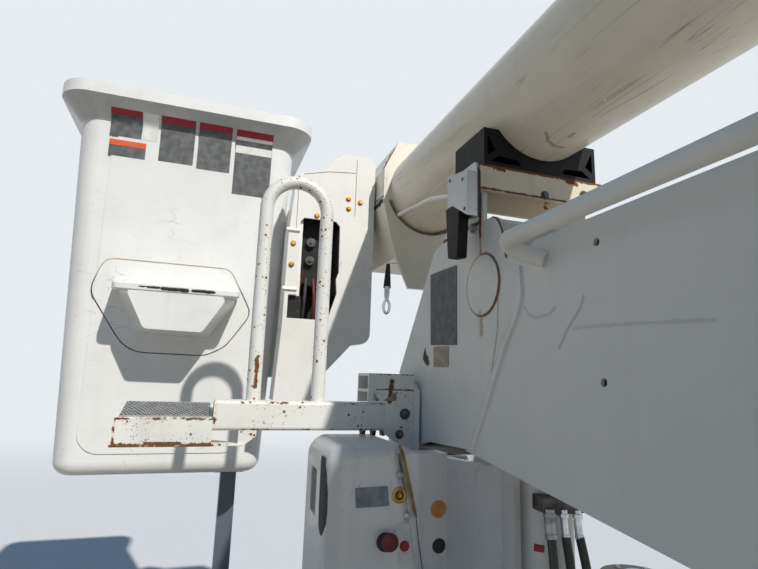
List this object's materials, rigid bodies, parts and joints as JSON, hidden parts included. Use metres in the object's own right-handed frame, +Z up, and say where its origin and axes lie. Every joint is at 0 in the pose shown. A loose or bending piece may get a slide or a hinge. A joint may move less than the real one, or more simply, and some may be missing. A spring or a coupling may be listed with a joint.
{
  "type": "truck-mounted aerial lift",
  "caption": "Articulated aerial lift for a utility truck: bucket, two booms, turret, pedestal and bolt-down mounting frame.",
  "frame": {"origin": "on the slew axis, on the underside of the mounting frame, at the centre of its bolt pattern", "axes": "+X forward along the stowed booms, +Y to the truck's left, +Z up"},
  "size_m": [4.8625, 1.5315, 1.989],
  "materials": {
    "white_paint": "gloss, weathered",
    "white_plastic": "satin",
    "white_fibreglass": "gel coat, weathered",
    "cream_fibreglass": "gel coat, weathered",
    "frame_paint": "semi-gloss",
    "grey_paint": "satin",
    "dark_paint": "satin",
    "gear_steel": "greased",
    "pin_steel": "turned",
    "zinc_plate": "galvanised",
    "rod_chrome": "polished",
    "black_polymer": "moulded",
    "pad_rubber": "matt"
  },
  "bodies": {
    "base": {"mounting_frame": "frame_paint", "pedestal": "white_paint", "slew_gear": "gear_steel", "bucket_rest_post": "grey_paint", "bucket_rest_pad": "pad_rubber"},
    "turret": {"slew_race": "gear_steel", "turntable": "white_paint", "cylinder_foot_pin": "pin_steel", "turret": "white_paint", "pivot_cheek_right": "white_paint", "pivot_cheek_left": "white_paint", "boom_pivot_pin": "pin_steel", "slew_drive": "dark_paint", "control_cover": "white_plastic", "step_arm": "white_paint", "step_tread": "white_paint", "grab_handle": "white_paint", "step_bracket": "white_paint"},
    "lower_boom": {"boom_root": "white_paint", "lower_boom": "white_paint", "lower_boom_fork": "white_paint", "tube_rail_right": "white_paint", "tube_rail_left": "white_paint", "saddle_bracket": "white_paint", "boom_saddle": "black_polymer", "latch_plate": "zinc_plate", "latch_handle": "black_polymer", "hold_down_rod": "pin_steel"},
    "elbow_head": {"elbow_head": "white_paint", "elbow_pin_low": "pin_steel", "elbow_pin_high": "pin_steel"},
    "upper_boom": {"upper_boom": "cream_fibreglass", "boom_socket": "white_paint", "tip_collar": "cream_fibreglass"},
    "bucket": {"mount_housing": "white_plastic", "bucket": "white_fibreglass", "bucket_bracket": "white_paint", "bucket_pocket": "white_fibreglass"},
    "lift_barrel": {"lift_barrel": "white_paint"},
    "lift_rod": {"lift_rod": "rod_chrome"}
  },
  "joints": [
    {"name": "turret_slew", "type": "hinge", "parent": "base", "child": "turret", "pos_m": [0, 0, 0.625], "axis": [0, 0, 1], "continuous": true},
    {"name": "lower_boom_lift", "type": "hinge", "parent": "turret", "child": "lower_boom", "pos_m": [-0.24, 0, 1.085], "axis": [0, -1, 0], "range_deg": [0, 75]},
    {"name": "elbow_level", "type": "hinge", "parent": "lower_boom", "child": "elbow_head", "pos_m": [3.45, 0, 1.29], "axis": [0, -1, 0], "range_deg": [-75, 0]},
    {"name": "upper_boom_lift", "type": "hinge", "parent": "elbow_head", "child": "upper_boom", "pos_m": [3.45, 0, 1.56], "axis": [0, 1, 0], "range_deg": [0, 145]},
    {"name": "bucket_level", "type": "hinge", "parent": "upper_boom", "child": "bucket", "pos_m": [-0.6, 0, 1.62], "axis": [0, 1, 0], "range_deg": [-145, 0]},
    {"name": "lift_barrel_swing", "type": "hinge", "parent": "turret", "child": "lift_barrel", "pos_m": [0.11, 0, 0.72], "axis": [0, -1, 0], "range_deg": [0, 33.84]},
    {"name": "lift_rod_slide", "type": "slide", "parent": "lift_barrel", "child": "lift_rod", "axis": [0.0161, 0, 0.9999], "range_m": [0, 0.3075]}
  ],
  "couplings": [
    {"joint": "elbow_level", "follows": "lower_boom_lift", "ratio": -1},
    {"joint": "bucket_level", "follows": "upper_boom_lift", "ratio": -1},
    {"joint": "lift_barrel_swing", "follows": "lower_boom_lift", "ratio": 0.45054},
    {"joint": "lift_rod_slide", "follows": "lower_boom_lift", "m_per_rad": 0.23457}
  ]
}
